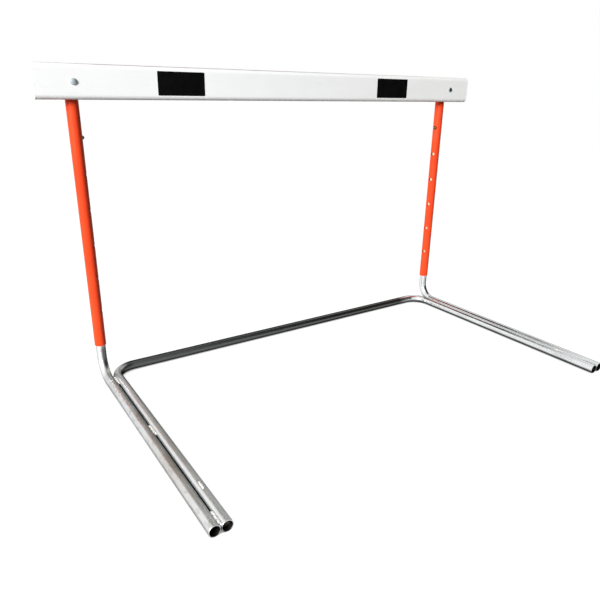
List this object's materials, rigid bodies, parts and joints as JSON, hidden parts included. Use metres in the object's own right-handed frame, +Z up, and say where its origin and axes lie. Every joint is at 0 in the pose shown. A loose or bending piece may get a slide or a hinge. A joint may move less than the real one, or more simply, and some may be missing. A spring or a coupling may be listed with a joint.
{
  "type": "track hurdle",
  "caption": "Track hurdle with a hollow crossbar on sleeves that slide over tube posts and lock with snap buttons, standing on long feet and a U-shaped base tube.",
  "frame": {"origin": "on the floor, under the middle of the hurdle's bounding box", "axes": "+X along the crossbar to the right as seen from the front, -Y the way the feet point, +Z up"},
  "size_m": [1.187, 0.6368, 0.6858],
  "materials": {
    "galvanised": "bright zinc-plated tube",
    "weld": "zinc-plated weld bead",
    "red_paint": "glossy orange-red powder coat",
    "white_plastic": "smooth white extruded plastic",
    "black_vinyl": "satin black vinyl",
    "black_plastic": "moulded black plastic",
    "zinc_plate": "dull zinc plate",
    "dark_steel": "dark oxidised steel",
    "spring_steel": "oiled spring strip"
  },
  "bodies": {
    "base": {"base_tube": "galvanised", "left_leg_tube": "galvanised", "right_leg_tube": "galvanised", "left_rear_weld": "weld", "left_middle_weld": "weld", "left_front_weld": "weld", "right_rear_weld": "weld", "right_middle_weld": "weld", "right_front_weld": "weld", "left_counterweight": "dark_steel", "right_counterweight": "dark_steel", "left_weight_weld": "weld", "right_weight_weld": "weld", "left_button_spring": "spring_steel", "right_button_spring": "spring_steel"},
    "gate": {"crossbar": "white_plastic", "left_end_cap": "white_plastic", "right_end_cap": "white_plastic", "left_black_panel": "black_vinyl", "right_black_panel": "black_vinyl", "left_sleeve": "red_paint", "right_sleeve": "red_paint", "left_sleeve_plug": "black_plastic", "right_sleeve_plug": "black_plastic", "left_bolt": "zinc_plate", "right_bolt": "zinc_plate", "left_washer": "zinc_plate", "right_washer": "zinc_plate", "left_nut": "zinc_plate", "right_nut": "zinc_plate"},
    "left_button": {"left_snap_button": "dark_steel"},
    "right_button": {"right_snap_button": "dark_steel"}
  },
  "joints": [
    {"name": "height_slide", "type": "slide", "parent": "base", "child": "gate", "axis": [0, 0, 1], "range_m": [0, 0.381], "deforming": ["left_snap_button", "right_snap_button"]},
    {"name": "left_button_press", "type": "slide", "parent": "base", "child": "left_button", "axis": [-0.9613, 0.2756, 0], "range_m": [0, 0.0052], "stiffness_N_per_m": 2000, "springref_m": -0.003, "deforming": ["left_button_spring"]},
    {"name": "right_button_press", "type": "slide", "parent": "base", "child": "right_button", "axis": [0.9613, 0.2756, 0], "range_m": [0, 0.0052], "stiffness_N_per_m": 2000, "springref_m": -0.003, "deforming": ["right_button_spring"]}
  ]
}
